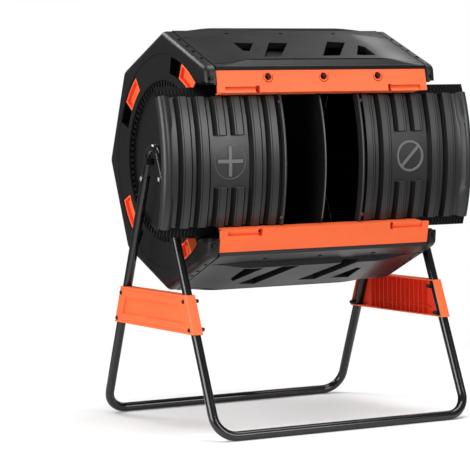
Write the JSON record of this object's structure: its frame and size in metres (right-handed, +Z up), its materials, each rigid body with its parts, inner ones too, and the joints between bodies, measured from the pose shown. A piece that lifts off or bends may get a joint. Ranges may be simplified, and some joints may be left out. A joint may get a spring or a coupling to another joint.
{
  "type": "compost tumbler",
  "caption": "Dual-chamber compost tumbler: an octagonal plastic drum with sliding arched doors, turning on a square axle held between tubular A-frame legs with side braces.",
  "frame": {"origin": "on the ground, midway between the legs, under the middle of the axle", "axes": "+X along the axle to the right, -Y towards the side with the doors, +Z up"},
  "size_m": [0.83, 0.6099, 0.93],
  "materials": {
    "black_plastic": "satin moulded black polypropylene",
    "door_plastic": "satin moulded black polypropylene, slightly smoother than the panels",
    "orange_plastic": "semi-gloss orange-red moulded plastic",
    "black_paint": "gloss black powder coat on steel tube",
    "grey_steel": "dull zinc-plated steel plate",
    "bright_steel": "bright zinc-plated steel",
    "dark_steel": "black oxide screws and bolts"
  },
  "bodies": {
    "stand": {"axle": "black_paint", "left_axle_bracket": "grey_steel", "left_axle_end_cap": "black_plastic", "left_front_brace_bolt_1": "dark_steel", "left_front_brace_bolt_2": "dark_steel", "left_front_leg": "black_paint", "left_front_top_screw": "bright_steel", "left_hub_bush": "black_plastic", "left_leg_brace": "orange_plastic", "left_rear_brace_bolt_1": "dark_steel", "left_rear_brace_bolt_2": "dark_steel", "left_rear_leg": "black_paint", "left_rear_top_screw": "bright_steel", "left_top_bend": "black_paint", "right_axle_bracket": "grey_steel", "right_axle_end_cap": "black_plastic", "right_front_brace_bolt_1": "dark_steel", "right_front_brace_bolt_2": "dark_steel", "right_front_leg": "black_paint", "right_front_top_screw": "bright_steel", "right_hub_bush": "black_plastic", "right_leg_brace": "orange_plastic", "right_rear_brace_bolt_1": "dark_steel", "right_rear_brace_bolt_2": "dark_steel", "right_rear_leg": "black_paint", "right_rear_top_screw": "bright_steel", "right_top_bend": "black_paint"},
    "drum": {"center_divider": "black_plastic", "left_cap_lower_screw": "dark_steel", "left_cap_upper_screw": "dark_steel", "left_end_cap": "black_plastic", "left_grip_1": "orange_plastic", "left_grip_2": "orange_plastic", "left_grip_3": "orange_plastic", "left_grip_4": "orange_plastic", "lower_door_rail": "orange_plastic", "lower_front_panel": "black_plastic", "lower_rail_screw_1": "dark_steel", "lower_rail_screw_2": "dark_steel", "lower_rail_screw_3": "dark_steel", "lower_rear_panel": "black_plastic", "rear_lower_panel": "black_plastic", "rear_upper_panel": "black_plastic", "right_cap_lower_screw": "dark_steel", "right_cap_upper_screw": "dark_steel", "right_end_cap": "black_plastic", "right_grip_1": "orange_plastic", "right_grip_2": "orange_plastic", "right_grip_3": "orange_plastic", "right_grip_4": "orange_plastic", "upper_door_rail": "orange_plastic", "upper_front_panel": "black_plastic", "upper_rail_screw_1": "dark_steel", "upper_rail_screw_2": "dark_steel", "upper_rail_screw_3": "dark_steel", "upper_rear_panel": "black_plastic"},
    "left_door": {"left_door": "door_plastic"},
    "right_door": {"right_door": "door_plastic"}
  },
  "joints": [
    {"name": "drum_spin", "type": "hinge", "parent": "stand", "child": "drum", "pos_m": [0, 0, 0.625], "axis": [-1, 0, 0], "range_deg": [-12, 190]},
    {"name": "left_door_slide", "type": "slide", "parent": "drum", "child": "left_door", "axis": [1, 0, 0], "range_m": [0, 0.095]},
    {"name": "right_door_slide", "type": "slide", "parent": "drum", "child": "right_door", "axis": [-1, 0, 0], "range_m": [0, 0.095]}
  ]
}
